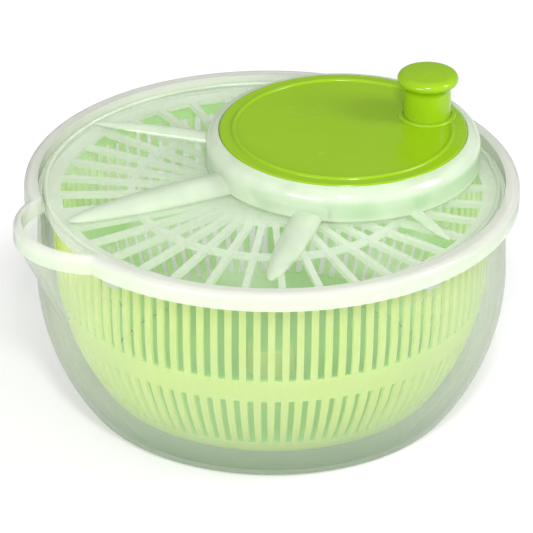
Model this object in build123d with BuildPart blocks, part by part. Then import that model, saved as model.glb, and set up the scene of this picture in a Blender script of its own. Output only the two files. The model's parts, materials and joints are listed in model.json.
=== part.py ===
from build123d import *
import os
from math import acos, asin, cos, pi, radians, sin, tan

os.makedirs("parts", exist_ok=True)

# Salad spinner, millimetres. Origin on the table at the bowl's axis, +Z up the spin axis,
# pouring spout towards -X.

# ---- driving dimensions ----
FLANGE_Z = 110.0         # lower edge of the bowl's rim skirt above the table
RIM_R = 125.0            # outside of the round rim
RIM_HEIGHT = 9.3
RIM_ROUND = 3.2
SHEET_TOP = 115.0        # top of the lid's clear flat sheet
SHEET = 1.6
PLATE_TOP = 112.6        # top of the slotted drive plate
DISC_TOP = 132.7         # flat top of the crank disc
RUN = 0.05               # radial running clearance of every bearing
END_PLAY = 0.2           # axial play of the bearings
BUSH_PLAY = 0.15         # axial play over the flanges of the two bushes

# ---- bowl ----
WALL = 2.2
BOWL_TOP_R = 118.1
BOWL_TAPER = -1.53       # degrees, the straight stretch widens downwards
BOWL_STRAIGHT = 36.0
BOWL_ARC = 113.0
BOWL_CORNER = 5.0
BOWL_FLOOR = 2.6
MOUTH_R = 118.0          # recess that takes the lid's edge
LEDGE_Z = 113.1
SKIRT = 1.8
SKIRT_HOLLOW_R = 120.2
SPOUT_X = -99.5          # centre of the spout's round outline
SPOUT_R = 41.0
SPOUT_MOUTH_R = 37.0
SPOUT_TOP_R = 39.8       # top of the spout's cone, just inside its rim
SPOUT_SLOPE = 0.48       # the spout's cone narrows by this much per mm downwards
SPOUT_DEPTH = 50.0
POST_R = 9.0
POST_TOP = 8.0
POST_DRAFT = 4.0
PIN_R = 3.0
PIN_TOP = 19.6
PIN_ROUND = 2.0

# ---- basket ----
BASKET_TOP_R = 110.5
BASKET_TOP = 109.6
BASKET_TAPER = 1.0
BASKET_STRAIGHT = 30.0
BASKET_ARC = 120.0
BASKET_BASE = 8.5
BASKET_WALL = 2.0
BASKET_CORNER = 5.0
RIM_LIP_R = 112.6
RIM_LIP = 1.7
SLOTS = 96
UPPER_SLOT = (3.7, 61.7, 103.0)      # width, bottom, top
LOWER_SLOT = (3.1, 17.5, 48.6)
SLOT_START = 80.0        # the cutters of the slots begin at this radius
SLOT_REACH = 40.0
FLOOR_RINGS = [22.0 + 10.0 * i for i in range(7)]
FLOOR_SLOT = 3.2
FLOOR_RIBS = 12
FLOOR_RIB = 5.0
HUB_R = 13.0
HUB_TOP = 25.0
HUB_DRAFT = 5.0
HUB_ROUND = 1.5
BEARING_R = 8.0
BEARING_TOP = 22.0
BEARING_CHAMFER = 0.6
NOTCH_R = 113.7          # middle of the lip's notches
NOTCH = 6.0
NOTCH_PLAY = 2.0

# ---- gears and the crank's axis ----
MODULE = 1.25
RING_TEETH = 92
PINION_TEETH = 18
PRESSURE = radians(20.0)
BACKLASH = 0.2           # per flank, at the pitch circle
CRANK_OFFSET = MODULE * (RING_TEETH - PINION_TEETH) / 2
CRANK_ANGLE = 10.6       # degrees, direction of the crank's axis from the bowl's axis
CRANK = (
    CRANK_OFFSET * cos(radians(CRANK_ANGLE)),
    CRANK_OFFSET * sin(radians(CRANK_ANGLE)),
)

# ---- lid ----
LID_R = 117.4
DRUM_R = 70.0
DRUM_WALL = 1.8
DRUM_SHOULDER = 7.4
DRUM_TOP = 132.3
DRUM_MOUTH_R = 63.6
BEAD_IN = 113.2
BEAD_OUT = 115.2
BEAD_TOP = 116.8
RIBS = [                 # angle about the crank's axis, distance of the tip, half width, height
    (93.0, 94.0, 3.2, 4.0),
    (135.2, 133.5, 4.6, 4.8),
    (179.3, 155.5, 10.2, 7.4),
    (226.2, 138.0, 8.0, 5.0),
    (272.2, 103.0, 3.2, 4.2),
]
RIB_MIDDLE = 76.0        # where the ribs are widest, from the crank's axis
RIB_SKIN = 1.5
BALL = 10.0              # radius of the ball that is stretched into a rib
SHEET_ROUND = 0.7
BEAD_ROUND = 0.8
SHOULDER_SHARE = 0.86    # the drum's shoulder reaches in by this share of its height
TRAY_R = 68.0
TRAY = 2.0
TRAY_SCREW_R = 65.4
TRAY_BOSS_R = 2.7
TRAY_BOSS_FOOT = 2.4     # square web that ties each boss to the drum's wall
TRAY_SCREW_HOLE = 5.2
TRAY_BOSS_TOP = 121.5
TRAY_SCREW = 1.1
TRAY_TOP = SHEET_TOP - SHEET + TRAY
TRAY_SCREW_ANGLES = [CRANK_ANGLE + 45 + 90 * i for i in range(4)]
CRANK_BOSS_R = 10.5
CRANK_BOSS_TOP = 123.0
CRANK_RECESS_R = 8.0
CRANK_RECESS_TOP = 118.4
PINION_BOSS_TOP = 116.0
PINION_BOSS_R = 8.4
TRAY_RIB = (51.0, 1.6, 1.0)          # length, width, height
TRAY_RIB_R = 35.0
DISC_RIB = (53.5, 1.6, 2.0)
DISC_RIB_R = 34.5

# ---- crank ----
DISC_R = 63.0
DISC = 2.7
DISC_SKIRT_Z = 127.5
BEAD_RING_R = 55.7
BEAD_RING_HALF = 1.4
BEAD_RING_RISE = 1.0
BEAD_RING_DEEP = 0.2
DISC_ROUND = 1.0
DISC_SKIRT = 2.0
STEM_PLAY = 0.3
COLLAR_R = 14.9
COLLAR = 1.2
HUB_Z = 124.0            # lower end of the disc's hub
HUB_OUT = 9.0
SPINDLE_GRIP = 6.0
SPINDLE_FOOT = 118.3
SPINDLE_SCREW = 9.0
SPINDLE_R = 4.0
BUSH_R = 6.0
GEAR_BOTTOM = 116.9
GEAR_TOP = 122.6
RING_OUT = 61.8
RING_FLANGE = (123.4, 126.0)
RING_FLANGE_IN = 51.5
RING_SCREW_R = 55.2

# ---- knob ----
KNOB_OFFSET = 45.8
KNOB_ANGLE = -7.6
KNOB = (
    CRANK[0] + KNOB_OFFSET * cos(radians(KNOB_ANGLE)),
    CRANK[1] + KNOB_OFFSET * sin(radians(KNOB_ANGLE)),
)
KNOB_HEIGHT = 24.6
STEM_R = 12.2
STEM_TOP = (12.0, 14.8)              # radius, height over the disc, as for all of the profile
NECK = (12.7, 17.0)
CAP_FOOT = (14.6, 18.8)
CAP = (15.6, 21.0)
CAP_HEAD = (14.4, 23.2)
CAP_EDGE = (13.2, 23.8)
DOME_R = 11.9
DOME_RISE = 0.5
KNOB_SKIN = 2.2
KNOB_ROOF = 3.2
KNOB_GAP = 0.3           # under the knob, and over the tower it turns on
AXLE_R = 3.0
TOWER_TOP = 140.0
TOWER_R = 6.5
KNOB_BOSS_Z = 126.2
AXLE_GRIP = 11.0
AXLE_SCREW_R = 1.0
AXLE_SCREW = 8.0
AXLE_WASHER_R = 4.6
AXLE_WASHER = 0.8
AXLE_WASHER_Z = 125.3

# ---- screws and washers ----
WASHER = 1.0
SCREW_R = 1.5
SCREW_HEAD_R = 3.0
SCREW_HEAD = 2.0
SUNK_HEAD_R = 2.8
CROSS = 1.1              # length of the cross recess, as a share of the head's radius
CROSS_WIDTH = 0.26
RING_SCREW = 6.0
RING_SCREW_HOLE = 10.0
RING_SCREW_GRIP = 4.0
RING_BOSS_R = 3.2
TRAY_SCREW_LENGTH = 7.0
TRAY_SCREW_HEAD_R = 2.3

# ---- drive plate ----
PLATE = 2.7
PLATE_ROUND = 0.8
SPOKES = 36
SPOKE_PHASE = 4.7
SPOKE_HALF = 1.7
INNER_SLOT = (36.0, 69.3)
OUTER_SLOT = (72.6, 106.8)
CLOSED_SLOT = 16          # one outer slot is left solid, with a small hole in it
GATE_HOLE = (98.6, 166.4)
GATE_HOLE_R = 1.0
PLATE_R = 114.2
PLATE_SKIRT_IN = 112.9
PLATE_SKIRT_Z = 106.5
LUG_ANGLES = [17.0 + 90.0 * i for i in range(4)]
LUG_WIDTH = 10.0
LUG_IN = 110.9
LUG_BOTTOM = 99.0
LUG_ROOT = 1.0
HEX_R = 4.0
PLATE_BOSS_R = 10.0
PLATE_BOSS_Z = 103.0
SHAFT_RECESS = 0.3       # the shaft ends this far inside its socket
SHAFT_SCREW_R = 1.5
SHAFT_SCREW_HOLE = 11.0
SHAFT_COLLAR = 0.6


def polar(radius, angle, centre=(0.0, 0.0)):
    """Point at a radius and an angle in degrees about a centre."""
    a = radians(angle)
    return (centre[0] + radius * cos(a), centre[1] + radius * sin(a))


def radial_plane(angle, height):
    """Plane whose normal points outwards at an angle, with its own y axis along +Z."""
    a = radians(angle)
    return Plane(origin=(0, 0, height), x_dir=(-sin(a), cos(a), 0), z_dir=(cos(a), sin(a), 0))


def vessel_face(top_r, top, taper, straight, arc, base, inset=0.0):
    """Half section of a vessel: a tapered wall, then one arc down to the base.

    The inset moves the wall inwards by that much, square to the wall.
    """
    t = radians(taper)
    knee_r = top_r - straight * sin(t)
    knee_z = top - straight * cos(t)
    centre = (knee_r - arc * cos(t), knee_z + arc * sin(t))
    reach = arc - inset
    start = (top_r - inset * cos(t), top + inset * sin(t))
    knee = (centre[0] + reach * cos(-t), centre[1] + reach * sin(-t))
    low = asin((base - centre[1]) / reach)
    mid = (low - t) / 2
    end = (centre[0] + reach * cos(low), base)
    with BuildLine() as outline:
        Line(start, knee)
        ThreePointArc(
            knee,
            (centre[0] + reach * cos(mid), centre[1] + reach * sin(mid)),
            end,
        )
        Polyline(end, (0, base), (0, start[1]), start)
    return outline


def vessel(top_r, top, taper, straight, arc, base, corner, inset=0.0):
    """Solid of revolution with the vessel's outline and a rounded base corner."""
    with BuildPart() as solid:
        with BuildSketch(Plane.XZ):
            with BuildLine():
                add(vessel_face(top_r, top, taper, straight, arc, base, inset))
            make_face()
        revolve(axis=Axis.Z)
        fillet(solid.faces().sort_by(Axis.Z)[0].edges(), corner)
    return solid.part


def tooth(teeth, base_at, tip_at, half_angle, internal=False):
    """Closed outline of one involute tooth, or of one gap of an internal gear, centred on +X."""
    pitch = MODULE * teeth / 2
    base = pitch * cos(PRESSURE)

    def flank(radius):
        if radius <= base:
            return half_angle + involute(pitch)
        return half_angle + involute(pitch) - involute(radius)

    def involute(radius):
        a = acos(min(1.0, base / radius))
        return tan(a) - a

    steps = 3
    radii = [base_at + (tip_at - base_at) * i / steps for i in range(steps + 1)]
    upper = [(r * cos(flank(r)), r * sin(flank(r))) for r in radii]
    lower = [(x, -y) for x, y in reversed(upper)]
    return upper + lower


# ---------------------------------------------------------------- bowl


def spout_cone(top_radius, top):
    """Cone of the pouring spout, wide end up."""
    with BuildPart() as cone:
        with BuildSketch(Plane.XY.offset(top - SPOUT_DEPTH)):
            with Locations((SPOUT_X, 0)):
                Circle(top_radius - SPOUT_SLOPE * SPOUT_DEPTH)
        with BuildSketch(Plane.XY.offset(top)):
            with Locations((SPOUT_X, 0)):
                Circle(top_radius)
        loft()
    return cone.part


TRAY_SCREWS = [polar(TRAY_SCREW_R, angle, CRANK) for angle in TRAY_SCREW_ANGLES]
BOWL_OUTER = vessel(
    BOWL_TOP_R, FLANGE_Z, BOWL_TAPER, BOWL_STRAIGHT, BOWL_ARC, 0.0, BOWL_CORNER
)
BOWL_INNER = vessel(
    BOWL_TOP_R, FLANGE_Z, BOWL_TAPER, BOWL_STRAIGHT, BOWL_ARC, BOWL_FLOOR, BOWL_CORNER - WALL, WALL
)
MOUTH_WALL_R = BOWL_TOP_R - WALL

with BuildPart() as bowl:
    # rim band: round, with the spout's own circle joined to it
    with BuildSketch(Plane.XY.offset(FLANGE_Z)):
        Circle(RIM_R)
        with Locations((SPOUT_X, 0)):
            Circle(SPOUT_R)
    extrude(amount=RIM_HEIGHT)
    fillet(bowl.faces().sort_by(Axis.Z)[-1].edges(), RIM_ROUND)
    add(BOWL_OUTER)
    add(spout_cone(SPOUT_TOP_R, FLANGE_Z))
    # inside
    add(BOWL_INNER, mode=Mode.SUBTRACT)
    with BuildSketch(Plane.XY.offset(FLANGE_Z - 1.0)):
        Circle(MOUTH_WALL_R)
    extrude(amount=LEDGE_Z - FLANGE_Z + 1.0, mode=Mode.SUBTRACT)
    with BuildSketch(Plane.XY.offset(LEDGE_Z)):
        Circle(MOUTH_R)
    extrude(amount=RIM_HEIGHT, mode=Mode.SUBTRACT)
    add(spout_cone(SPOUT_TOP_R - WALL, FLANGE_Z), mode=Mode.SUBTRACT)
    with BuildSketch(Plane.XY.offset(FLANGE_Z)):
        with Locations((SPOUT_X, 0)):
            Circle(SPOUT_MOUTH_R)
    extrude(amount=RIM_HEIGHT, mode=Mode.SUBTRACT)
    # hollow under the rolled rim, stopping at the spout
    with BuildSketch(Plane.XY.offset(FLANGE_Z)):
        Circle(RIM_R - SKIRT)
        Circle(SKIRT_HOLLOW_R, mode=Mode.SUBTRACT)
        with Locations((SPOUT_X, 0)):
            Circle(SPOUT_R, mode=Mode.SUBTRACT)
    extrude(amount=RIM_HEIGHT - SKIRT, mode=Mode.SUBTRACT)
    # post for the pivot pin
    with BuildSketch(Plane.XY.offset(BOWL_FLOOR)):
        Circle(POST_R)
    extrude(amount=POST_TOP - BOWL_FLOOR, taper=POST_DRAFT)
    with BuildSketch(Plane.XY.offset(BOWL_FLOOR)):
        Circle(PIN_R)
    extrude(amount=POST_TOP, mode=Mode.SUBTRACT)
bowl.part.label = "bowl"
export_step(bowl.part, "parts/bowl.step")

with BuildPart() as pivot_pin:
    with BuildSketch(Plane.XY.offset(BOWL_FLOOR)):
        Circle(PIN_R)
    extrude(amount=PIN_TOP - BOWL_FLOOR)
    fillet(pivot_pin.faces().sort_by(Axis.Z)[-1].edges(), PIN_ROUND)
pivot_pin.part.label = "pivot_pin"
export_step(pivot_pin.part, "parts/pivot_pin.step")

with BuildPart() as basket_bearing:
    with BuildSketch(Plane.XY.offset(POST_TOP + END_PLAY)):
        Circle(BEARING_R)
    extrude(amount=BEARING_TOP - POST_TOP - END_PLAY)
    chamfer(basket_bearing.faces().sort_by(Axis.Z)[-1].edges(), BEARING_CHAMFER)
    with BuildSketch(Plane.XY.offset(POST_TOP + END_PLAY)):
        Circle(PIN_R + RUN)
    extrude(amount=PIN_TOP - POST_TOP, mode=Mode.SUBTRACT)
basket_bearing.part.label = "basket_bearing"
export_step(basket_bearing.part, "parts/basket_bearing.step")

# ---------------------------------------------------------------- basket
BASKET_SHAPE = (BASKET_TOP_R, BASKET_TOP, BASKET_TAPER, BASKET_STRAIGHT, BASKET_ARC)

with BuildPart() as basket:
    add(vessel(*BASKET_SHAPE, BASKET_BASE, BASKET_CORNER))
    with BuildSketch(Plane.XY.offset(BASKET_TOP - RIM_LIP)):
        Circle(RIM_LIP_R)
    extrude(amount=RIM_LIP)
    add(
        vessel(*BASKET_SHAPE, BASKET_BASE + BASKET_WALL, BASKET_CORNER - BASKET_WALL, BASKET_WALL),
        mode=Mode.SUBTRACT,
    )
    # hub over the bearing cup
    with BuildSketch(Plane.XY.offset(BASKET_BASE)):
        Circle(HUB_R)
    extrude(amount=HUB_TOP - BASKET_BASE, taper=HUB_DRAFT)
    hub_top = basket.faces().filter_by_position(Axis.Z, HUB_TOP - 0.1, HUB_TOP + 0.1)
    fillet(hub_top.edges(), HUB_ROUND)
    with BuildSketch(Plane.XY.offset(BASKET_BASE)):
        Circle(BEARING_R + RUN)
    extrude(amount=BEARING_TOP + END_PLAY - BASKET_BASE, mode=Mode.SUBTRACT)
    # slots through the wall, two tiers
    for width, bottom, top in (UPPER_SLOT, LOWER_SLOT):
        planes = [radial_plane(360.0 * i / SLOTS, (bottom + top) / 2) for i in range(SLOTS)]
        with BuildSketch(*[plane.offset(SLOT_START) for plane in planes]):
            Rectangle(width, top - bottom)
        extrude(amount=SLOT_REACH, mode=Mode.SUBTRACT)
    # arc slots in the floor
    with BuildSketch(Plane.XY.offset(BASKET_BASE)):
        for radius in FLOOR_RINGS:
            Circle(radius + FLOOR_SLOT / 2)
            Circle(radius - FLOOR_SLOT / 2, mode=Mode.SUBTRACT)
        with PolarLocations(FLOOR_RINGS[-1] / 2 + 5.0, FLOOR_RIBS):
            Rectangle(FLOOR_RINGS[-1] + 10.0, FLOOR_RIB, mode=Mode.SUBTRACT)
    extrude(amount=BASKET_WALL, mode=Mode.SUBTRACT)
    # notches for the drive plate's lugs
    with BuildSketch(Plane.XY.offset(BASKET_TOP - RIM_LIP)):
        for angle in LUG_ANGLES:
            with Locations(Location((*polar(NOTCH_R, angle), 0), angle)):
                Rectangle(NOTCH, LUG_WIDTH + NOTCH_PLAY)
    extrude(amount=RIM_LIP, mode=Mode.SUBTRACT)
basket.part.label = "basket"
export_step(basket.part, "parts/basket.step")

# ---------------------------------------------------------------- drive plate
with BuildPart() as drive_plate:
    with BuildSketch(Plane.XY.offset(PLATE_TOP - PLATE)):
        Circle(PLATE_R)
    extrude(amount=PLATE)
    with BuildSketch(Plane.XY.offset(PLATE_SKIRT_Z)):
        Circle(PLATE_R)
        Circle(PLATE_SKIRT_IN, mode=Mode.SUBTRACT)
    extrude(amount=PLATE_TOP - PLATE_SKIRT_Z)
    fillet(drive_plate.faces().sort_by(Axis.Z)[-1].edges(), PLATE_ROUND)
    # slots between the spokes, with straight ends
    with BuildSketch(Plane.XY.offset(PLATE_TOP - PLATE)):
        half = pi / SPOKES
        for low, high in (INNER_SLOT, OUTER_SLOT):
            for i in range(SPOKES):
                middle = SPOKE_PHASE + 360.0 / SPOKES * (i + 0.5)
                if (low, high) == OUTER_SLOT and i == CLOSED_SLOT:
                    continue
                low_half = low * sin(half) - SPOKE_HALF / cos(half)
                high_half = high * sin(half) - SPOKE_HALF / cos(half)
                with BuildLine(Plane.XY.rotated((0, 0, middle))):
                    Polyline(
                        (low * cos(half), -low_half),
                        (high * cos(half), -high_half),
                        (high * cos(half), high_half),
                        (low * cos(half), low_half),
                        close=True,
                    )
                make_face()
        with Locations(polar(*GATE_HOLE)):
            Circle(GATE_HOLE_R)
    extrude(amount=PLATE, mode=Mode.SUBTRACT)
    # lugs that drop into the notches of the basket's lip
    with BuildSketch(Plane.XY.offset(LUG_BOTTOM)):
        for angle in LUG_ANGLES:
            with Locations(Location((*polar((LUG_IN + PLATE_SKIRT_IN) / 2, angle), 0), angle)):
                Rectangle(PLATE_SKIRT_IN - LUG_IN, LUG_WIDTH)
    extrude(amount=PLATE_TOP - PLATE - LUG_BOTTOM)
    with BuildSketch(Plane.XY.offset(PLATE_SKIRT_Z)):
        for angle in LUG_ANGLES:
            with Locations(Location((*polar(PLATE_SKIRT_IN, angle), 0), angle)):
                Rectangle(LUG_ROOT, LUG_WIDTH)
    extrude(amount=PLATE_TOP - PLATE - PLATE_SKIRT_Z)
    # boss with the six-sided socket of the shaft
    with BuildSketch(Plane.XY.offset(PLATE_BOSS_Z)):
        Circle(PLATE_BOSS_R)
    extrude(amount=PLATE_TOP - PLATE - PLATE_BOSS_Z)
    with BuildSketch(Plane.XY.offset(PLATE_BOSS_Z)):
        RegularPolygon(HEX_R, 6)
    extrude(amount=PLATE_TOP - PLATE_BOSS_Z, mode=Mode.SUBTRACT)
drive_plate.part.label = "drive_plate"
export_step(drive_plate.part, "parts/drive_plate.step")

with BuildPart() as pinion_shaft:
    with BuildSketch(Plane.XY.offset(PLATE_BOSS_Z + SHAFT_RECESS)):
        RegularPolygon(HEX_R, 6)
    extrude(amount=GEAR_TOP - PLATE_BOSS_Z - SHAFT_RECESS)
    with BuildSketch(Plane.XY.offset(PLATE_TOP)):
        Circle(HEX_R)
    extrude(amount=GEAR_BOTTOM - PLATE_TOP)
    with BuildSketch(Plane.XY.offset(PLATE_TOP)):
        Circle(BUSH_R)
    extrude(amount=SHAFT_COLLAR)
    with BuildSketch(Plane.XY.offset(PLATE_BOSS_Z + SHAFT_RECESS)):
        Circle(SHAFT_SCREW_R)
    extrude(amount=SHAFT_SCREW_HOLE, mode=Mode.SUBTRACT)
pinion_shaft.part.label = "pinion_shaft"
export_step(pinion_shaft.part, "parts/pinion_shaft.step")


def washer(outer, hole, bottom, thickness, centre=(0.0, 0.0)):
    """Flat round washer."""
    with BuildPart() as ring:
        with BuildSketch(Plane.XY.offset(bottom)):
            with Locations(centre):
                Circle(outer)
                Circle(hole, mode=Mode.SUBTRACT)
        extrude(amount=thickness)
    return ring.part


def pan_screw(shank_r, head_r, head, length, under_head, centre=(0.0, 0.0)):
    """Pan head screw with a cross recess, driven from below; its head hangs under that height."""
    with BuildPart() as screw:
        with BuildSketch(Plane.XY.offset(under_head - head)):
            with Locations(centre):
                Circle(head_r)
        extrude(amount=head)
        fillet(screw.faces().sort_by(Axis.Z)[0].edges(), head * 0.45)
        with BuildSketch(Plane.XY.offset(under_head)):
            with Locations(centre):
                Circle(shank_r)
        extrude(amount=length)
        with BuildSketch(Plane.XY.offset(under_head - head)):
            with Locations(centre):
                Rectangle(head_r * CROSS, head_r * CROSS_WIDTH)
                Rectangle(head_r * CROSS_WIDTH, head_r * CROSS)
        extrude(amount=head * 0.55, mode=Mode.SUBTRACT)
    return screw.part


def sunk_screws(shank_r, head_r, length, face_z, centres, seats=False):
    """Countersunk screws driven upwards, their heads flush with a face, or their seats."""
    cone = head_r - shank_r
    with BuildPart() as screws:
        with BuildSketch(Plane.XY.offset(face_z)):
            with Locations(*centres):
                Circle(shank_r)
        extrude(amount=length)
        with BuildSketch(Plane.XY.offset(face_z)):
            with Locations(*centres):
                Circle(head_r)
        extrude(amount=cone, taper=45)
        if not seats:
            with BuildSketch(Plane.XY.offset(face_z)):
                with Locations(*centres):
                    Rectangle(head_r * CROSS, head_r * CROSS_WIDTH)
                    Rectangle(head_r * CROSS_WIDTH, head_r * CROSS)
            extrude(amount=cone * 0.8, mode=Mode.SUBTRACT)
    return screws.part


with BuildPart() as shaft_washer:
    add(washer(7.0, SHAFT_SCREW_R, PLATE_BOSS_Z - WASHER, WASHER))
shaft_washer.part.label = "shaft_washer"
export_step(shaft_washer.part, "parts/shaft_washer.step")

with BuildPart() as shaft_screw:
    add(pan_screw(SHAFT_SCREW_R, SCREW_HEAD_R, SCREW_HEAD, 10.0, PLATE_BOSS_Z - WASHER))
shaft_screw.part.label = "shaft_screw"
export_step(shaft_screw.part, "parts/shaft_screw.step")

# ---------------------------------------------------------------- gears
PINION_PITCH = MODULE * PINION_TEETH / 2
RING_PITCH = MODULE * RING_TEETH / 2
PINION_TIP = PINION_PITCH + MODULE
PINION_ROOT = PINION_PITCH - 1.25 * MODULE
RING_TIP = RING_PITCH - 0.95 * MODULE
RING_ROOT = RING_PITCH + 1.25 * MODULE


def half_tooth(teeth, sign):
    """Half a tooth's angle at the pitch circle, less or plus the backlash."""
    return pi / (2 * teeth) + sign * BACKLASH / (MODULE * teeth / 2)


with BuildPart() as pinion:
    with BuildSketch(Plane.XY.offset(GEAR_BOTTOM)):
        Circle(PINION_ROOT + 0.05)
        for i in range(PINION_TEETH):
            # one tooth points along the line to the crank's axis and away from it
            with BuildLine(Plane.XY.rotated((0, 0, CRANK_ANGLE + 360.0 * i / PINION_TEETH))):
                Polyline(
                    *tooth(PINION_TEETH, PINION_ROOT - 0.4, PINION_TIP, half_tooth(PINION_TEETH, -1)),
                    close=True,
                )
            make_face()
        RegularPolygon(HEX_R, 6, mode=Mode.SUBTRACT)
    extrude(amount=GEAR_TOP - GEAR_BOTTOM)
pinion.part.label = "pinion"
export_step(pinion.part, "parts/pinion.step")

RING_SCREWS = [polar(RING_SCREW_R, KNOB_ANGLE + 30 + 60 * i, CRANK) for i in range(6)]

with BuildPart() as ring_gear:
    with BuildSketch(Plane.XY.offset(GEAR_BOTTOM)):
        with Locations(CRANK):
            Circle(RING_OUT)
            Circle(RING_TIP, mode=Mode.SUBTRACT)
        for i in range(RING_TEETH):
            # a gap of the ring faces the pinion, on the far side of the crank's axis
            angle = CRANK_ANGLE + 180 + 360.0 * i / RING_TEETH
            with BuildLine(Plane((*CRANK, 0)).rotated((0, 0, angle))):
                Polyline(
                    *tooth(RING_TEETH, RING_TIP - 0.6, RING_ROOT, half_tooth(RING_TEETH, 1)),
                    close=True,
                )
            make_face(mode=Mode.SUBTRACT)
    extrude(amount=GEAR_TOP - GEAR_BOTTOM)
    with BuildSketch(Plane.XY.offset(GEAR_TOP)):
        with Locations(CRANK):
            Circle(RING_OUT)
            Circle(RING_ROOT, mode=Mode.SUBTRACT)
    extrude(amount=RING_FLANGE[0] - GEAR_TOP)
    with BuildSketch(Plane.XY.offset(RING_FLANGE[0])):
        with Locations(CRANK):
            Circle(RING_OUT)
            Circle(RING_FLANGE_IN, mode=Mode.SUBTRACT)
    extrude(amount=RING_FLANGE[1] - RING_FLANGE[0])
    add(
        sunk_screws(SCREW_R, SUNK_HEAD_R, RING_SCREW_HOLE, RING_FLANGE[0], RING_SCREWS, seats=True),
        mode=Mode.SUBTRACT,
    )
ring_gear.part.label = "ring_gear"
export_step(ring_gear.part, "parts/ring_gear.step")

with BuildPart() as ring_gear_screws:
    add(sunk_screws(SCREW_R, SUNK_HEAD_R, RING_SCREW, RING_FLANGE[0], RING_SCREWS))
ring_gear_screws.part.label = "ring_gear_screws"
export_step(ring_gear_screws.part, "parts/ring_gear_screws.step")

# ---------------------------------------------------------------- lid


def drum_section(inset):
    """Half section of the gear drum about its own axis, from the sheet up to its mouth."""
    outer_r = DRUM_R - inset
    top = DRUM_TOP - inset
    shoulder = DRUM_SHOULDER - inset
    inner_r = outer_r - shoulder * SHOULDER_SHARE
    with BuildLine() as outline:
        Polyline((0, top), (0, SHEET_TOP - SHEET), (outer_r, SHEET_TOP - SHEET))
        Line((outer_r, SHEET_TOP - SHEET), (outer_r, top - shoulder))
        RadiusArc((outer_r, top - shoulder), (inner_r, top), -shoulder)
        Line((inner_r, top), (0, top))
    return outline


def rib_body(angle, tip, half, height, inset):
    """Half an ellipsoid that lies on the sheet and points away from the crank's axis.

    inset makes it smaller all round, for the hollow below.
    """
    with BuildPart() as rib:
        Sphere(BALL)
        scale(by=((tip - RIB_MIDDLE - inset) / BALL, (half - inset) / BALL, (height - inset) / BALL))
        split(bisect_by=Plane.YZ.offset(DRUM_R - DRUM_WALL / 2 - RIB_MIDDLE), keep=Keep.TOP)
        split(bisect_by=Plane.XY.offset(-SHEET / 2 - inset), keep=Keep.TOP)
    return rib.part.moved(Location((*polar(RIB_MIDDLE, angle, CRANK), SHEET_TOP), angle))


with BuildPart() as lid:
    with BuildSketch(Plane.XY.offset(SHEET_TOP - SHEET)):
        Circle(LID_R)
    extrude(amount=SHEET)
    fillet(lid.edges().filter_by(GeomType.CIRCLE).group_by(Axis.Z)[-1], SHEET_ROUND)
    with BuildSketch(Plane.XY.offset(SHEET_TOP)):
        Circle(BEAD_OUT)
        Circle(BEAD_IN, mode=Mode.SUBTRACT)
    bead = extrude(amount=BEAD_TOP - SHEET_TOP)
    fillet(bead.faces().sort_by(Axis.Z)[-1].edges(), BEAD_ROUND)
    with BuildSketch(Plane.XZ.offset(-CRANK[1])):
        with BuildLine():
            add(drum_section(0.0).line.moved(Location((CRANK[0], 0, 0))))
        make_face()
    revolve(axis=Axis((*CRANK, 0), (0, 0, 1)))
    for rib in RIBS:
        add(rib_body(*rib, 0.0))
    for rib in RIBS:
        add(rib_body(*rib, RIB_SKIN), mode=Mode.SUBTRACT)
    # inside of the drum, and its mouth
    with BuildSketch(Plane.XZ.offset(-CRANK[1])):
        with BuildLine():
            add(drum_section(DRUM_WALL).line.moved(Location((CRANK[0], 0, 0))))
        make_face()
    revolve(axis=Axis((*CRANK, 0), (0, 0, 1)), mode=Mode.SUBTRACT)
    with BuildSketch(Plane.XY.offset(SHEET_TOP)):
        with Locations(CRANK):
            Circle(DRUM_MOUTH_R)
    extrude(amount=DRUM_TOP - SHEET_TOP, mode=Mode.SUBTRACT)
    # bosses for the tray's screws, and their blind holes
    with BuildSketch(Plane.XY.offset(TRAY_TOP)):
        with Locations(*TRAY_SCREWS):
            Circle(TRAY_BOSS_R)
        with Locations(*[polar(TRAY_SCREW_R + 2.0, a, CRANK) for a in TRAY_SCREW_ANGLES]):
            Rectangle(TRAY_BOSS_FOOT, TRAY_BOSS_FOOT)
    extrude(amount=TRAY_BOSS_TOP - TRAY_TOP)
    with BuildSketch(Plane.XY.offset(TRAY_TOP)):
        with Locations(*TRAY_SCREWS):
            Circle(TRAY_SCREW)
    extrude(amount=TRAY_SCREW_HOLE, mode=Mode.SUBTRACT)
lid.part.label = "lid"
export_step(lid.part, "parts/lid.step")

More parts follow.
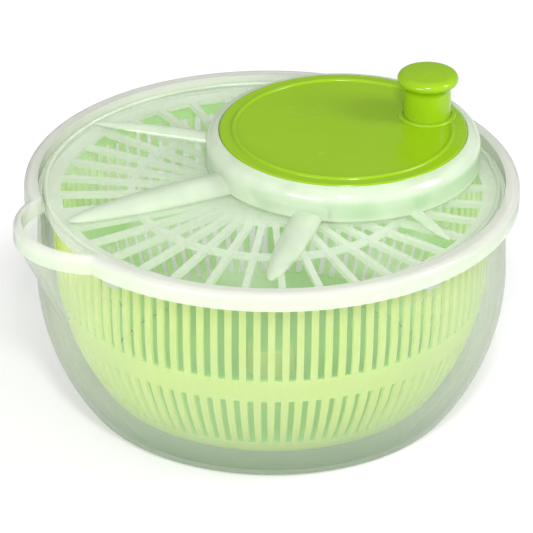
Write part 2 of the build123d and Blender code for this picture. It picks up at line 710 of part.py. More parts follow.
with BuildPart() as gear_tray:
    with BuildSketch(Plane.XY.offset(SHEET_TOP - SHEET)):
        with Locations(CRANK):
            Circle(TRAY_R)
    extrude(amount=TRAY)
    # boss for the crank's bush, hollow below for the spindle's washer and screw
    with BuildSketch(Plane.XY.offset(TRAY_TOP)):
        with Locations(CRANK):
            Circle(CRANK_BOSS_R)
    extrude(amount=CRANK_BOSS_TOP - TRAY_TOP)
    with BuildSketch(Plane.XY.offset(SHEET_TOP - SHEET)):
        with Locations(CRANK):
            Circle(CRANK_RECESS_R)
    extrude(amount=CRANK_RECESS_TOP - SHEET_TOP + SHEET, mode=Mode.SUBTRACT)
    # boss for the pinion's bush
    with BuildSketch(Plane.XY.offset(TRAY_TOP)):
        Circle(PINION_BOSS_R)
    extrude(amount=PINION_BOSS_TOP - TRAY_TOP)
    with BuildSketch(Plane.XY.offset(SHEET_TOP - SHEET)):
        Circle(BUSH_R)
        with Locations(CRANK):
            Circle(BUSH_R)
    extrude(amount=12.0, mode=Mode.SUBTRACT)
    # stiffening ribs from the crank's boss to the edge
    with BuildSketch(Plane.XY.offset(TRAY_TOP)):
        with Locations(*[
            Location((*polar(TRAY_RIB_R, CRANK_ANGLE + a, CRANK), 0), CRANK_ANGLE + a)
            for a in range(0, 360, 45)
            if a != 180
        ]):
            Rectangle(TRAY_RIB[0], TRAY_RIB[1])
    extrude(amount=TRAY_RIB[2])
    add(
        sunk_screws(TRAY_SCREW, TRAY_SCREW_HEAD_R, 9.0, SHEET_TOP - SHEET, TRAY_SCREWS, seats=True),
        mode=Mode.SUBTRACT,
    )
gear_tray.part.label = "gear_tray"
export_step(gear_tray.part, "parts/gear_tray.step")

with BuildPart() as tray_screws:
    add(sunk_screws(
        TRAY_SCREW, TRAY_SCREW_HEAD_R, TRAY_SCREW_LENGTH, SHEET_TOP - SHEET, TRAY_SCREWS
    ))
tray_screws.part.label = "tray_screws"
export_step(tray_screws.part, "parts/tray_screws.step")


def flanged_bush(bore, body_bottom, flange_bottom, flange_top, flange_r, centre=(0.0, 0.0)):
    """Plain bearing bush with a flange at its upper end."""
    with BuildPart() as bush:
        with BuildSketch(Plane.XY.offset(body_bottom)):
            with Locations(centre):
                Circle(BUSH_R)
        extrude(amount=flange_bottom - body_bottom)
        with BuildSketch(Plane.XY.offset(flange_bottom)):
            with Locations(centre):
                Circle(flange_r)
        extrude(amount=flange_top - flange_bottom)
        with BuildSketch(Plane.XY.offset(body_bottom)):
            with Locations(centre):
                Circle(bore)
        extrude(amount=flange_top - body_bottom, mode=Mode.SUBTRACT)
    return bush.part


with BuildPart() as pinion_bush:
    add(flanged_bush(
        HEX_R + RUN, SHEET_TOP - SHEET, PINION_BOSS_TOP, GEAR_BOTTOM - BUSH_PLAY, BUSH_R + 2.0
    ))
pinion_bush.part.label = "pinion_bush"
export_step(pinion_bush.part, "parts/pinion_bush.step")

with BuildPart() as crank_bush:
    add(flanged_bush(
        SPINDLE_R + RUN, CRANK_RECESS_TOP, CRANK_BOSS_TOP, HUB_Z - BUSH_PLAY, BUSH_R + 3.0, CRANK
    ))
crank_bush.part.label = "crank_bush"
export_step(crank_bush.part, "parts/crank_bush.step")

# ---------------------------------------------------------------- crank
with BuildPart() as crank_disc:
    # dished disc with a skirt, a raised bead and a collar round the knob
    with BuildSketch(Plane.XY.offset(DISC_TOP - DISC)):
        with Locations(CRANK):
            Circle(DISC_R)
    extrude(amount=DISC)
    fillet(crank_disc.faces().sort_by(Axis.Z)[-1].edges(), DISC_ROUND)
    with BuildSketch(Plane.XY.offset(DISC_SKIRT_Z)):
        with Locations(CRANK):
            Circle(DISC_R)
            Circle(DISC_R - DISC_SKIRT, mode=Mode.SUBTRACT)
    extrude(amount=DISC_TOP - DISC - DISC_SKIRT_Z)
    with BuildSketch(Plane.XZ.offset(-CRANK[1])):
        with BuildLine():
            bead_x = CRANK[0] + BEAD_RING_R
            foot = DISC_TOP - BEAD_RING_DEEP
            ThreePointArc(
                (bead_x - BEAD_RING_HALF, foot),
                (bead_x, DISC_TOP + BEAD_RING_RISE),
                (bead_x + BEAD_RING_HALF, foot),
            )
            Line((bead_x + BEAD_RING_HALF, foot), (bead_x - BEAD_RING_HALF, foot))
        make_face()
    revolve(axis=Axis((*CRANK, 0), (0, 0, 1)))
    with BuildSketch(Plane.XY.offset(DISC_TOP)):
        with Locations(KNOB):
            Circle(COLLAR_R)
    collar = extrude(amount=COLLAR)
    fillet(collar.faces().sort_by(Axis.Z)[-1].edges(), COLLAR * 0.8)
    with BuildSketch(Plane.XY.offset(DISC_TOP)):
        with Locations(KNOB):
            Circle(STEM_R + STEM_PLAY)
    extrude(amount=DISC_TOP, mode=Mode.SUBTRACT)
    # hub for the spindle, boss and tower for the knob's axle, bosses for the ring gear
    with BuildSketch(Plane.XY.offset(HUB_Z)):
        with Locations(CRANK):
            Circle(HUB_OUT)
    extrude(amount=DISC_TOP - DISC - HUB_Z)
    with BuildSketch(Plane.XY.offset(KNOB_BOSS_Z)):
        with Locations(KNOB):
            Circle(TOWER_R)
    extrude(amount=TOWER_TOP - KNOB_BOSS_Z)
    with BuildSketch(Plane.XY.offset(RING_FLANGE[1])):
        with Locations(*RING_SCREWS):
            Circle(RING_BOSS_R)
    extrude(amount=DISC_TOP - DISC - RING_FLANGE[1])
    with BuildSketch(Plane.XY.offset(HUB_Z)):
        with Locations(CRANK):
            Circle(SPINDLE_R)
    extrude(amount=SPINDLE_GRIP, mode=Mode.SUBTRACT)
    with BuildSketch(Plane.XY.offset(KNOB_BOSS_Z)):
        with Locations(KNOB):
            Circle(AXLE_R + RUN)
    extrude(amount=TOWER_TOP - KNOB_BOSS_Z, mode=Mode.SUBTRACT)
    # stiffening ribs under the disc
    with BuildSketch(Plane.XY.offset(DISC_TOP - DISC - DISC_RIB[2])):
        with Locations(*[
            Location((*polar(DISC_RIB_R, KNOB_ANGLE + a, CRANK), 0), KNOB_ANGLE + a)
            for a in range(30, 360, 60)
        ]):
            Rectangle(DISC_RIB[0], DISC_RIB[1])
    extrude(amount=DISC_RIB[2])
    with BuildSketch(Plane.XY.offset(RING_FLANGE[1])):
        with Locations(*RING_SCREWS):
            Circle(SCREW_R)
    extrude(amount=RING_SCREW_GRIP, mode=Mode.SUBTRACT)
crank_disc.part.label = "crank_disc"
export_step(crank_disc.part, "parts/crank_disc.step")

with BuildPart() as crank_spindle:
    with BuildSketch(Plane.XY.offset(SPINDLE_FOOT)):
        with Locations(CRANK):
            Circle(SPINDLE_R)
    extrude(amount=HUB_Z + SPINDLE_GRIP - SPINDLE_FOOT)
    with BuildSketch(Plane.XY.offset(SPINDLE_FOOT)):
        with Locations(CRANK):
            Circle(SCREW_R)
    extrude(amount=SPINDLE_SCREW, mode=Mode.SUBTRACT)
crank_spindle.part.label = "crank_spindle"
export_step(crank_spindle.part, "parts/crank_spindle.step")

with BuildPart() as spindle_washer:
    add(washer(CRANK_RECESS_R - 0.6, SCREW_R, SPINDLE_FOOT - WASHER, WASHER, CRANK))
spindle_washer.part.label = "spindle_washer"
export_step(spindle_washer.part, "parts/spindle_washer.step")

with BuildPart() as spindle_screw:
    add(pan_screw(
        SCREW_R, SCREW_HEAD_R, SCREW_HEAD, SPINDLE_SCREW, SPINDLE_FOOT - WASHER, CRANK
    ))
spindle_screw.part.label = "spindle_screw"
export_step(spindle_screw.part, "parts/spindle_screw.step")

# ---------------------------------------------------------------- knob
KNOB_FOOT = DISC_TOP + KNOB_GAP
KNOB_TOP = DISC_TOP + KNOB_HEIGHT
KNOB_BORE_Z = TOWER_TOP + KNOB_GAP
DOME_SPHERE = (DOME_R**2 + DOME_RISE**2) / (2 * DOME_RISE)


def on_knob(radius, height):
    """Point of the knob's profile, in the plane through its axis."""
    return (KNOB[0] + radius, DISC_TOP + height)


with BuildPart() as knob:
    with BuildSketch(Plane.XZ.offset(-KNOB[1])):
        with BuildLine():
            Line(on_knob(0, KNOB_GAP), on_knob(STEM_R, KNOB_GAP))
            Line(on_knob(STEM_R, KNOB_GAP), on_knob(*STEM_TOP))
            ThreePointArc(on_knob(*STEM_TOP), on_knob(*NECK), on_knob(*CAP_FOOT))
            ThreePointArc(on_knob(*CAP_FOOT), on_knob(*CAP), on_knob(*CAP_HEAD))
            dome_foot = on_knob(DOME_R, KNOB_HEIGHT - DOME_RISE)
            ThreePointArc(on_knob(*CAP_HEAD), on_knob(*CAP_EDGE), dome_foot)
            RadiusArc(dome_foot, on_knob(0, KNOB_HEIGHT), -DOME_SPHERE)
            Line(on_knob(0, KNOB_HEIGHT), on_knob(0, KNOB_GAP))
        make_face()
    revolve(axis=Axis((*KNOB, 0), (0, 0, 1)))
    # hollow from below, with a middle boss that grips the axle
    with BuildSketch(Plane.XY.offset(KNOB_FOOT)):
        with Locations(KNOB):
            Circle(STEM_R - KNOB_SKIN)
    extrude(amount=KNOB_TOP - KNOB_ROOF - KNOB_FOOT, mode=Mode.SUBTRACT)
    with BuildSketch(Plane.XY.offset(KNOB_BORE_Z)):
        with Locations(KNOB):
            Circle(TOWER_R)
    extrude(amount=KNOB_TOP - KNOB_ROOF / 2 - KNOB_BORE_Z)
    with BuildSketch(Plane.XY.offset(KNOB_BORE_Z)):
        with Locations(KNOB):
            Circle(AXLE_R)
    extrude(amount=AXLE_GRIP, mode=Mode.SUBTRACT)
knob.part.label = "knob"
export_step(knob.part, "parts/knob.step")

with BuildPart() as knob_axle:
    with BuildSketch(Plane.XY.offset(KNOB_BOSS_Z)):
        with Locations(KNOB):
            Circle(AXLE_R)
    extrude(amount=KNOB_BORE_Z + AXLE_GRIP - KNOB_BOSS_Z)
    with BuildSketch(Plane.XY.offset(KNOB_BOSS_Z)):
        with Locations(KNOB):
            Circle(AXLE_SCREW_R)
    extrude(amount=AXLE_SCREW, mode=Mode.SUBTRACT)
knob_axle.part.label = "knob_axle"
export_step(knob_axle.part, "parts/knob_axle.step")

with BuildPart() as knob_washer:
    add(washer(AXLE_WASHER_R, AXLE_SCREW_R, AXLE_WASHER_Z, AXLE_WASHER, KNOB))
knob_washer.part.label = "knob_washer"
export_step(knob_washer.part, "parts/knob_washer.step")

with BuildPart() as knob_screw:
    add(pan_screw(AXLE_SCREW_R, 2.2, 1.3, AXLE_SCREW, AXLE_WASHER_Z, KNOB))
knob_screw.part.label = "knob_screw"
export_step(knob_screw.part, "parts/knob_screw.step")
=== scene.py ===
"""Looks of the salad spinner: plastics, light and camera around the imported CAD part."""

import json
import math

import bpy
from mathutils import Matrix, Vector


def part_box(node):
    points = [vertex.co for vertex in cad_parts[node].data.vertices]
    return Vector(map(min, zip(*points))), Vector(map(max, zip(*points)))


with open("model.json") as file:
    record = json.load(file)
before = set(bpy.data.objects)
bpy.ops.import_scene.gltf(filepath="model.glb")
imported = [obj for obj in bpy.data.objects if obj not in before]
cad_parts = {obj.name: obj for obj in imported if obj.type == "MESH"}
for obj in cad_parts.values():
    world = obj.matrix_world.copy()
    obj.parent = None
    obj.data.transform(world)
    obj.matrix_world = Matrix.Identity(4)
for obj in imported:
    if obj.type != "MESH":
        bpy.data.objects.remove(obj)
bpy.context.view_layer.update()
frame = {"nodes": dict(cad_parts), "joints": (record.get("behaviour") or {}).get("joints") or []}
NODES = frame["nodes"]

# ---- places on the part, in metres, worked out from the frame ----


def under(top, deep, shallow):
    """Band of heights, given as two depths under a top."""
    return top - deep, top - shallow


CRANK = next(j["pos_m"] for j in frame["joints"] if j["name"] == "crank_spin")
RIM_RADIUS, _, BOWL_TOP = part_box("bowl")[1]
DRUM_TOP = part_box("lid")[1].z
DISC_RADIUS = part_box("crank_disc")[1].x - CRANK[0]

FOOT_SHADE_BAND = (0.004, 0.040)                              # the painted shade on the bowl's foot fades out upwards
INNER_SHADE_BAND = under(BOWL_TOP, 0.0193, 0.0133)            # the painted shade on its inner wall fades out below the rim
SPOUT_BAND = (0.007 - RIM_RADIUS, 0.013 - RIM_RADIUS)   # and, in x, towards the spout
RIM_BAND = under(BOWL_TOP, 0.0108, 0.0088)              # lower edge of the rim
SKIRT_BAND = under(BOWL_TOP, 0.0048, 0.0018)            # between the rim's skirt and its top
SHEET_BAND = under(DRUM_TOP, 0.0171, 0.0161)            # just over the lid's flat sheet
DRUM_FOOT_BAND = under(DRUM_TOP, 0.0168, 0.0133)
DRUM_SHOULDER_BAND = under(DRUM_TOP, 0.0088, 0.0048)
DRUM_EDGE = (DISC_RADIUS + 0.0085, DISC_RADIUS + 0.0105)  # just outside the drum's wall
DRUM_SHADE_SIDE = (0.5, -0.87)                                # direction of the drum's side that gets painted shade, a deeper green
DRUM_SHADE_SIDE_BAND = (0.05, 0.10)

# ---- sizes of the surface detail, in cells per metre, and its depths in metres ----
MOULD_WAVES = 14.0
MOULD_DEPTH = 0.0009
CLEAR_GRAIN_DEPTH = 0.000004
CLEAR_SCRATCH_DEPTH = 0.00001
SINK_MARKS = 60.0
SINK_DEPTH = 0.00012
GRAIN_DEPTH = 0.00003
SCRATCH_DEPTH = 0.000015
HAIRLINES = 160.0
HAIRLINE_STRETCH = (1.0, 26.0, 1.0)
HAIRLINE_PATCHES = 22.0
WEAR_PATCHES = 120.0
WORN_EDGES = (0.53, 0.60)                # pointiness of a barely and of a clearly worn edge

MOULD_SHADE = 0.94                       # how much a clear body darkens along its flow
CLOUDS = 26.0
RIM_PATCHES = 11.0
DRUM_PATCHES = 24.0
FLOW_LINES = 18.0
LATHE_MARKS = 2600.0
LATHE_STRETCH = (1.0, 1.0, 0.05)
LATHE_DEPTH = 0.00002
STAINS = 400.0
PLASTIC_IOR = 1.49

# ---- colours of wear, of painted shade and of single places; a pair is (even, uneven) ----
SCRATCH_WHITE = (0.95, 0.97, 0.95)
EDGE_WHITE = (0.95, 0.97, 0.93)
SCRATCH_GREEN = (0.90, 0.95, 0.80)
# painted shade on the bowl's foot
FOOT_PAINTED_SHADE = (0.31, 0.41, 0.29)
# painted shade on the bowl's inner wall
INNER_PAINTED_SHADE = (0.50, 0.60, 0.52)
# painted shade: the dark line along the bowl's wall where it is seen edge on
OUTLINE_PAINTED_SHADE = (0.06, 0.09, 0.06)
SKIRT_MINT = ((0.83, 0.90, 0.75), (0.76, 0.87, 0.70))
RIM_CREAM = ((0.86, 0.86, 0.81), (0.82, 0.83, 0.77))
RIB_PALE = (0.80, 0.86, 0.74)
# patchy green of the drum's wall, and painted shade on one side of it
DRUM_GREEN_AND_SHADE = (0.58, 0.80, 0.53)
# painted shade inside the basket and on its upward faces
BASKET_SHADE_GREEN = (0.70, 0.99, 0.47)
STEEL_GREYS = ((0.60, 0.60, 0.58), (0.46, 0.46, 0.44))

# ---------------------------------------------------------------- node helpers


class Graph:
    """A material's nodes, made and joined by short calls."""

    def __init__(self, name):
        self.material = bpy.data.materials.new(name)
        self.material.use_nodes = True
        self.tree = self.material.node_tree
        self.tree.nodes.clear()
        self.out = self.node("ShaderNodeOutputMaterial")
        coordinates = self.node("ShaderNodeTexCoord")
        self.place = coordinates.outputs["Object"]
        self.normal = coordinates.outputs["Normal"]

    def node(self, kind, **settings):
        made = self.tree.nodes.new(kind)
        for key, value in settings.items():
            setattr(made, key, value)
        return made

    def put(self, socket, value):
        """A socket takes another node's output, or a plain value."""
        if isinstance(value, bpy.types.NodeSocket):
            self.tree.links.new(value, socket)
        else:
            socket.default_value = value

    def math(self, operation, a, b=0.0, clamp=False):
        made = self.node("ShaderNodeMath", operation=operation, use_clamp=clamp)
        self.put(made.inputs[0], a)
        self.put(made.inputs[1], b)
        return made.outputs[0]

    def times(self, a, b):
        """Product of two values."""
        return self.math("MULTIPLY", a, b)

    def plus(self, a, b):
        """Sum of two shares, kept between 0 and 1."""
        return self.math("ADD", a, b, clamp=True)

    def ramp(self, value, low, high, to_low=0.0, to_high=1.0, smooth=True):
        """value from low..high is mapped to to_low..to_high."""
        made = self.node("ShaderNodeMapRange")
        made.interpolation_type = "SMOOTHSTEP" if smooth else "LINEAR"
        for key, v in zip(
            ("Value", "From Min", "From Max", "To Min", "To Max"),
            (value, low, high, to_low, to_high),
        ):
            self.put(made.inputs[key], v)
        return made.outputs[0]

    def mix(self, share, a, b):
        made = self.node("ShaderNodeMix", data_type="RGBA")
        self.put(made.inputs["Factor"], share)
        self.put(made.inputs[6], a if isinstance(a, bpy.types.NodeSocket) else (*a, 1.0))
        self.put(made.inputs[7], b if isinstance(b, bpy.types.NodeSocket) else (*b, 1.0))
        return made.outputs[2]

    def noise(self, scale, detail=3.0, stretch=None, rough=0.55, distortion=0.0):
        """Noise with scale in cells per metre; stretch squeezes it along each axis."""
        made = self.node("ShaderNodeTexNoise")
        where = self.place
        if stretch:
            mapping = self.node("ShaderNodeMapping")
            self.put(mapping.inputs["Vector"], where)
            mapping.inputs["Scale"].default_value = stretch
            where = mapping.outputs[0]
        self.put(made.inputs["Vector"], where)
        made.inputs["Scale"].default_value = scale
        made.inputs["Detail"].default_value = detail
        made.inputs["Roughness"].default_value = rough
        made.inputs["Distortion"].default_value = distortion
        return made.outputs["Fac"]

    def split(self, vector):
        """The three parts of a vector."""
        made = self.node("ShaderNodeSeparateXYZ")
        self.put(made.inputs[0], vector)
        return made.outputs

    def height(self):
        """Height over the floor."""
        return self.split(self.place)[2]

    def radius(self, centre):
        """Distance from a vertical axis."""
        x, y, _ = self.split(self.place)
        dx = self.math("SUBTRACT", x, centre[0])
        dy = self.math("SUBTRACT", y, centre[1])
        return self.math("SQRT", self.math("ADD", self.times(dx, dx), self.times(dy, dy)))

    def bump(self, *layers):
        """layers are (height in 0..1, depth in metres), one on the other."""
        normal = None
        for height, depth in layers:
            made = self.node("ShaderNodeBump")
            made.inputs["Strength"].default_value = 1.0
            made.inputs["Distance"].default_value = depth
            self.put(made.inputs["Height"], height)
            if normal is not None:
                self.put(made.inputs["Normal"], normal)
            normal = made.outputs[0]
        return normal

    def worn_edges(self):
        """Mask of the convex edges, broken up so that the wear looks patchy."""
        point = self.node("ShaderNodeNewGeometry").outputs["Pointiness"]
        patches = self.ramp(self.noise(WEAR_PATCHES), 0.3, 0.6)
        return self.times(self.ramp(point, *WORN_EDGES), patches)

    def inward(self):
        """Mask of the faces that look towards the spin axis."""
        flat = self.node("ShaderNodeVectorMath", operation="MULTIPLY")
        self.put(flat.inputs[0], self.place)
        flat.inputs[1].default_value = (10.0, 10.0, 0.0)
        dot = self.node("ShaderNodeVectorMath", operation="DOT_PRODUCT")
        self.put(dot.inputs[0], self.normal)
        self.put(dot.inputs[1], flat.outputs[0])
        return self.ramp(dot.outputs["Value"], -0.5, -0.2, 1.0, 0.0)

    def upward(self):
        """Mask of the faces that look up."""
        return self.ramp(self.split(self.normal)[2], 0.6, 0.9)

    def facing(self):
        """0 where the surface is seen face on, 1 where it is seen edge on."""
        made = self.node("ShaderNodeLayerWeight")
        made.inputs["Blend"].default_value = 0.5
        return made.outputs["Facing"]

    def principled(self, **values):
        """Main shader; each value goes to the socket of the same name."""
        made = self.node("ShaderNodeBsdfPrincipled")
        for key, value in values.items():
            name = key.replace("_", " ")
            socket = next(s for s in made.inputs if s.name.lower() == name.lower())
            if isinstance(value, tuple) and len(value) == 3 and socket.type == "RGBA":
                value = (*value, 1.0)
            self.put(socket, value)
        return made.outputs[0]

    def glow_through(self, share, solid, colour):
        """Part of a solid plastic's light comes through it from behind."""
        soft = self.node("ShaderNodeBsdfTranslucent")
        self.put(soft.inputs["Color"], colour)
        return self.shader_mix(share, solid, soft.outputs[0])

    def shader_mix(self, share, a, b):
        made = self.node("ShaderNodeMixShader")
        self.put(made.inputs[0], share)
        self.put(made.inputs[1], a)
        self.put(made.inputs[2], b)
        return made.outputs[0]

    def finish(self, shader):
        self.put(self.out.inputs["Surface"], shader)
        return self.material


def hair_scratches(g, amount):
    """Fine hairline marks, sparse, as a mask from 0 to the amount."""
    fine = g.noise(HAIRLINES, 2.0, stretch=HAIRLINE_STRETCH, rough=0.4)
    patches = g.noise(HAIRLINE_PATCHES, 2.0)
    return g.times(g.ramp(fine, 0.66, 0.72), g.ramp(patches, 0.45, 0.7, 0.0, amount))


def uneven_roughness(g, rough, patches, spread, scratches, scratched):
    """Roughness that wanders round its value and rises in the scratches."""
    wander = g.ramp(patches, 0.3, 0.75, rough * 0.8, rough * spread)
    return g.math("ADD", wander, g.times(scratches, scratched))


def see_through(name, tint, body, edge, low, high, rough, grain, power=2.6, shade=0.55, coat=0.5,
                tone=None, layers=()):
    """Clear or milky plastic: mostly let through face on, closing up towards its edges.

    tint colours what is seen through it, body the plastic itself, and edge is painted shade: a darker
    colour where the plastic is seen edge on. low and high are the share of plastic that shows face on
    and edge on. power says how late it closes up, and shade how far the edge's colour takes over.
    tone changes the body's colour from place to place. Each layer is (mask, its colour or None, the
    share of plastic that it adds).
    """
    g = Graph(name)
    mould = g.noise(MOULD_WAVES)
    scratches = hair_scratches(g, 0.5)
    normal = g.bump(
        (mould, MOULD_DEPTH),
        (g.noise(grain, 2.0), CLEAR_GRAIN_DEPTH),
        (scratches, CLEAR_SCRATCH_DEPTH),
    )
    turned = g.math("POWER", g.facing(), power)

    colour = g.mix(g.ramp(mould, 0.3, 0.7, 0.0, 0.35), body, tuple(MOULD_SHADE * c for c in body))
    if tone:
        colour = tone(g, colour)
    # painted shade: the darker edge colour takes over where the wall is seen edge on
    colour = g.mix(g.times(turned, shade), colour, edge)
    colour = g.mix(scratches, colour, SCRATCH_WHITE)
    share = g.ramp(turned, 0.0, 1.0, low, high, smooth=False)
    share = g.plus(share, g.times(scratches, 0.10))
    share = g.plus(share, g.ramp(mould, 0.35, 0.7, -0.015, 0.02))
    for make_mask, layer_colour, added in layers:
        mask = make_mask(g)
        share = g.plus(share, g.times(mask, added))
        if layer_colour:
            colour = g.mix(mask, colour, layer_colour)
    colour = g.mix(g.times(g.worn_edges(), 0.5), colour, EDGE_WHITE)

    solid = g.principled(
        base_color=colour, normal=normal, ior=PLASTIC_IOR, specular_ior_level=0.6,
        roughness=uneven_roughness(g, rough, g.noise(70.0), 1.3, scratches, 0.25),
        coat_weight=coat, coat_roughness=0.05, coat_normal=normal,
    )
    clear = g.node("ShaderNodeBsdfTransparent")
    clear.inputs["Color"].default_value = (*tint, 1.0)
    return g.finish(g.shader_mix(share, clear.outputs[0], g.glow_through(0.35, solid, colour)))


def moulded(name, colour, dark, rough, grain, through=0.0, coat=0.0, spec=0.5, worn=0.2, tone=None):
    """Opaque or softly translucent moulded plastic, between two colours."""
    g = Graph(name)
    scratches = hair_scratches(g, 0.7)
    normal = g.bump(
        (g.noise(SINK_MARKS, 2.0), SINK_DEPTH),
        (g.noise(grain, 2.0), GRAIN_DEPTH),
        (scratches, SCRATCH_DEPTH),
    )
    flow = g.noise(FLOW_LINES, 4.0, distortion=0.6)
    skin = g.mix(g.ramp(flow, 0.3, 0.72), colour, dark)
    skin = g.mix(g.times(scratches, 0.3), skin, SCRATCH_GREEN)
    skin = g.mix(g.times(g.worn_edges(), worn), skin, SCRATCH_GREEN)
    if tone:
        skin = tone(g, skin)
    solid = g.principled(
        base_color=skin, normal=normal, ior=PLASTIC_IOR, specular_ior_level=spec,
        roughness=uneven_roughness(g, rough, g.noise(90.0, 4.0), 1.35, scratches, 0.2),
        coat_weight=coat, coat_roughness=0.06,
    )
    if through:
        solid = g.glow_through(through, solid, skin)
    return g.finish(solid)


def turned_steel(name):
    """Stainless steel with the fine marks of the lathe and faint stains."""
    g = Graph(name)
    marks = g.noise(LATHE_MARKS, 2.0, stretch=LATHE_STRETCH)
    return g.finish(g.principled(
        base_color=g.mix(g.ramp(g.noise(STAINS, 4.0), 0.4, 0.7), *STEEL_GREYS),
        metallic=1.0,
        roughness=g.ramp(marks, 0.3, 0.7, 0.22, 0.38),
        normal=g.bump((marks, LATHE_DEPTH)),
    ))


# ---------------------------------------------------------------- masks, tones and painted shade of single parts


def above(band):
    """Mask that sets in over a band of heights, where the part is frosted."""
    return lambda g: g.ramp(g.height(), *band)


def bowl_foot_shade(g):
    """The bowl's lowest stretch, where its darker colour is painted shade."""
    return g.ramp(g.height(), *FOOT_SHADE_BAND, 1.0, 0.0)


def bowl_inner_shade(g):
    """The bowl's inner wall, without its rim and its spout, where its darker colour is painted shade.
    """
    wall = g.times(g.inward(), g.ramp(g.height(), *INNER_SHADE_BAND, 1.0, 0.0))
    return g.times(wall, g.ramp(g.split(g.place)[0], *SPOUT_BAND))


def outline_shade(g):
    """Painted shade: a thin dark line where the wall is seen edge on."""
    return g.times(g.math("POWER", g.facing(), 7.0), 0.8)


def clouds(g):
    """Faint haze, from -1 to 1, that makes the lid a little uneven."""
    return g.ramp(g.noise(CLOUDS, 2.0), 0.35, 0.65, -1.0, 1.0)


def rim_tone(g, colour):
    """The rim is creamy on top, mint on its skirt, and a little uneven."""
    uneven = g.ramp(g.noise(RIM_PATCHES), 0.35, 0.65, 0.0, 0.6)
    skirt = g.mix(uneven, *SKIRT_MINT)
    top = g.mix(uneven, *RIM_CREAM)
    rim = g.mix(g.ramp(g.height(), *SKIRT_BAND), skirt, top)
    return g.mix(g.ramp(g.height(), *RIM_BAND), colour, rim)


def drum_tone_and_shade(g, colour):
    """The drum's wall is green and patchy, with painted shade as a deeper green on one side; its
    shoulder stays creamy, and the ribs are paler.
    """
    x, y, height = g.split(g.place)
    drum = g.ramp(g.radius(CRANK), *DRUM_EDGE, 1.0, 0.0)
    wall = g.times(
        g.ramp(height, *DRUM_FOOT_BAND), g.ramp(height, *DRUM_SHOULDER_BAND, 1.0, 0.0)
    )
    patches = g.ramp(g.noise(DRUM_PATCHES, distortion=0.8), 0.38, 0.62, 0.10, 0.75)
    # painted shade: the wall turns a deeper green towards one side
    side = g.math("ADD", g.times(x, DRUM_SHADE_SIDE[0]), g.times(y, DRUM_SHADE_SIDE[1]))
    green_and_shade = g.plus(patches, g.ramp(side, *DRUM_SHADE_SIDE_BAND, 0.0, 0.5))
    ribs = g.mix(drum, RIB_PALE, colour)
    colour = g.mix(g.ramp(height, *SHEET_BAND), colour, ribs)
    return g.mix(g.times(g.times(wall, drum), green_and_shade), colour, DRUM_GREEN_AND_SHADE)


def basket_painted_shade(g, colour):
    """The basket is a deeper green, as painted shade, where it looks inwards or up."""
    return g.mix(g.plus(g.inward(), g.upward()), colour, BASKET_SHADE_GREEN)


# ---------------------------------------------------------------- materials

BOWL = see_through(
    "bowl_plastic", tint=(0.925, 0.940, 0.925), body=(0.92, 0.95, 0.88), edge=(0.40, 0.42, 0.38),
    low=0.08, high=0.74, rough=0.12, grain=900.0, shade=0.85, tone=rim_tone,
    layers=[
        # the first three layers are painted shade: on the foot, on the inner wall and as a dark
        # outline
        (bowl_foot_shade, FOOT_PAINTED_SHADE, 0.18),
        (bowl_inner_shade, INNER_PAINTED_SHADE, 0.09),
        (outline_shade, OUTLINE_PAINTED_SHADE, 1.0),
        (above(RIM_BAND), None, 0.52),
    ],
)
LID = see_through(
    "lid_plastic", tint=(0.945, 0.960, 0.955), body=(0.87, 0.94, 0.80), edge=(0.62, 0.68, 0.54),
    low=0.06, high=0.70, rough=0.07, grain=1200.0, power=2.2, shade=0.6, coat=1.0, tone=drum_tone_and_shade,
    layers=[(clouds, None, 0.08), (above(SHEET_BAND), None, 0.46)],
)
TRAY = see_through(
    "tray_plastic", tint=(0.95, 0.965, 0.94), body=(0.80, 0.92, 0.70), edge=(0.66, 0.74, 0.60),
    low=0.35, high=0.85, rough=0.22, grain=900.0,
)
PLATE = see_through(
    "plate_plastic", tint=(0.90, 0.93, 0.91), body=(0.98, 0.97, 0.93), edge=(0.98, 0.94, 0.84),
    low=0.76, high=0.97, rough=0.28, grain=700.0,
)
BASKET = moulded(
    "basket_plastic", (0.98, 0.99, 0.50), (0.93, 0.97, 0.45), rough=0.38, grain=800.0,
    through=0.52, tone=basket_painted_shade,
)
LIME = moulded(
    "lime_plastic", (0.240, 0.420, 0.006), (0.228, 0.402, 0.005), rough=0.20, grain=1400.0,
    coat=0.18, spec=0.22, worn=0.04,
)
ACETAL = moulded(
    "white_acetal", (0.86, 0.88, 0.80), (0.82, 0.84, 0.77), rough=0.35, grain=1500.0, through=0.15,
)
STEEL = turned_steel("turned_steel")

FINISH = {
    BOWL: ["bowl"],
    LID: ["lid"],
    TRAY: ["gear_tray"],
    PLATE: ["drive_plate"],
    BASKET: ["basket"],
    LIME: ["crank_disc", "knob"],
    ACETAL: ["ring_gear", "pinion", "basket_bearing", "crank_bush", "pinion_bush"],
    STEEL: [
        "pivot_pin", "pinion_shaft", "shaft_washer", "shaft_screw", "ring_gear_screws", "tray_screws",
        "crank_spindle", "spindle_washer", "spindle_screw", "knob_axle", "knob_washer", "knob_screw",
    ],
}
for material, names in FINISH.items():
    for name in names:
        mesh = NODES[name].data
        mesh.materials.clear()
        mesh.materials.append(material)

# ---------------------------------------------------------------- floor

FLOOR_HALF = 8.0
FLOOR_GAP = 0.0004

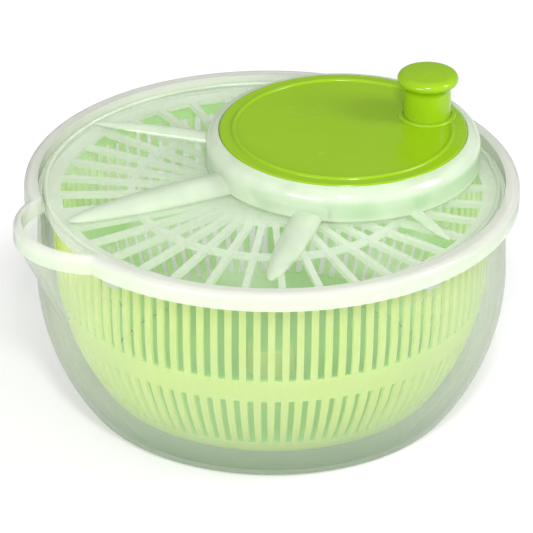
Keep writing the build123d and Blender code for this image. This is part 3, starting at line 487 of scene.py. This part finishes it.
floor_paint = Graph("studio_floor")
floor_grain = floor_paint.noise(30.0, 4.0)
floor_paint.finish(floor_paint.principled(
    base_color=floor_paint.mix(floor_grain, (0.52, 0.52, 0.52), (0.54, 0.54, 0.54)),
    roughness=0.7, specular_ior_level=0.2,
    emission_color=(1.0, 1.0, 1.0), emission_strength=0.42,
))
plane = bpy.data.meshes.new("floor")
corners = [(x * FLOOR_HALF, y * FLOOR_HALF, 0) for x, y in ((-1, -1), (1, -1), (1, 1), (-1, 1))]
plane.from_pydata(corners, [], [(0, 1, 2, 3)])
floor = bpy.data.objects.new("floor", plane)
floor.location.z = -FLOOR_GAP
plane.materials.append(floor_paint.material)
bpy.context.scene.collection.objects.link(floor)

# ---------------------------------------------------------------- camera's place

TARGET = Vector((-0.03908, -0.06743, 0.110))
DISTANCE = 2.844
ELEVATION = math.radians(28.05)
HEADING = math.radians(61.7)             # the way the camera looks, seen from above
ROLL = 0.00776
LENS = 389.65                            # focal length and film width, in millimetres
SENSOR = 36.0
VIEW_END = 50.0

# ---------------------------------------------------------------- world, paler on the camera's side
SKY_FAR = 0.30
SKY_NEAR = 0.80

world = bpy.data.worlds.new("studio")
world.use_nodes = True
sky = world.node_tree.nodes
sky_links = world.node_tree.links
side = sky.new("ShaderNodeVectorMath")
side.operation = "DOT_PRODUCT"
side.inputs[1].default_value = (-math.cos(HEADING), -math.sin(HEADING), 0.0)
fade = sky.new("ShaderNodeMapRange")
fade.inputs["From Min"].default_value = -1.0
fade.inputs["From Max"].default_value = 1.0
fade.inputs["To Min"].default_value = SKY_FAR
fade.inputs["To Max"].default_value = SKY_NEAR
sky_links.new(sky.new("ShaderNodeTexCoord").outputs["Generated"], side.inputs[0])
sky_links.new(side.outputs["Value"], fade.inputs["Value"])
sky_links.new(fade.outputs[0], sky["Background"].inputs["Color"])
sky["Background"].inputs["Strength"].default_value = 1.0
bpy.context.scene.world = world

# ---------------------------------------------------------------- lamps

LAMPS_LOOK_AT = Vector((0.0, 0.0, 0.09))


def lamp(name, heading, elevation, distance, width, height, power):
    """Soft box that looks at the part. heading is counted from the camera's side, anticlockwise."""
    a = HEADING + math.pi + math.radians(heading)
    e = math.radians(elevation)
    out = Vector((math.cos(a) * math.cos(e), math.sin(a) * math.cos(e), math.sin(e)))
    data = bpy.data.lights.new(name, "AREA")
    data.shape = "RECTANGLE"
    data.size = width
    data.size_y = height
    data.energy = power
    made = bpy.data.objects.new(name, data)
    made.location = LAMPS_LOOK_AT + out * distance
    made.rotation_euler = out.to_track_quat("Z", "Y").to_euler()
    bpy.context.scene.collection.objects.link(made)


lamp("key", 3.0, 42.0, distance=2.2, width=0.3, height=0.3, power=28.0)
lamp("front_box", -30.0, 14.0, distance=2.4, width=1.2, height=0.7, power=24.0)
lamp("right_box", 80.0, 30.0, distance=1.6, width=0.5, height=0.9, power=15.0)
lamp("left_box", -80.0, 40.0, distance=1.8, width=0.9, height=0.9, power=1.5)
lamp("top_box", 180.0, 65.0, distance=1.8, width=1.2, height=0.8, power=1.5)

# ---------------------------------------------------------------- camera

forward = Vector((
    math.cos(HEADING) * math.cos(ELEVATION),
    math.sin(HEADING) * math.cos(ELEVATION),
    -math.sin(ELEVATION),
))
right = Vector((math.sin(HEADING), -math.cos(HEADING), 0.0))
up = right.cross(forward)
right_rolled = right * math.cos(ROLL) + up * math.sin(ROLL)
up_rolled = up * math.cos(ROLL) - right * math.sin(ROLL)
turn = Matrix((right_rolled, up_rolled, -forward)).transposed().to_4x4()
camera_data = bpy.data.cameras.new("camera")
camera_data.lens = LENS
camera_data.sensor_width = SENSOR
camera_data.clip_end = VIEW_END
camera = bpy.data.objects.new("camera", camera_data)
camera.matrix_world = Matrix.Translation(TARGET - forward * DISTANCE) @ turn
bpy.context.scene.collection.objects.link(camera)
bpy.context.scene.camera = camera

view_settings = bpy.context.scene.view_settings
view_settings.view_transform = "Standard"
cycles = bpy.context.scene.cycles
cycles.transparent_max_bounces = 48
cycles.max_bounces = 16
cycles.diffuse_bounces = 6
cycles.transmission_bounces = 12
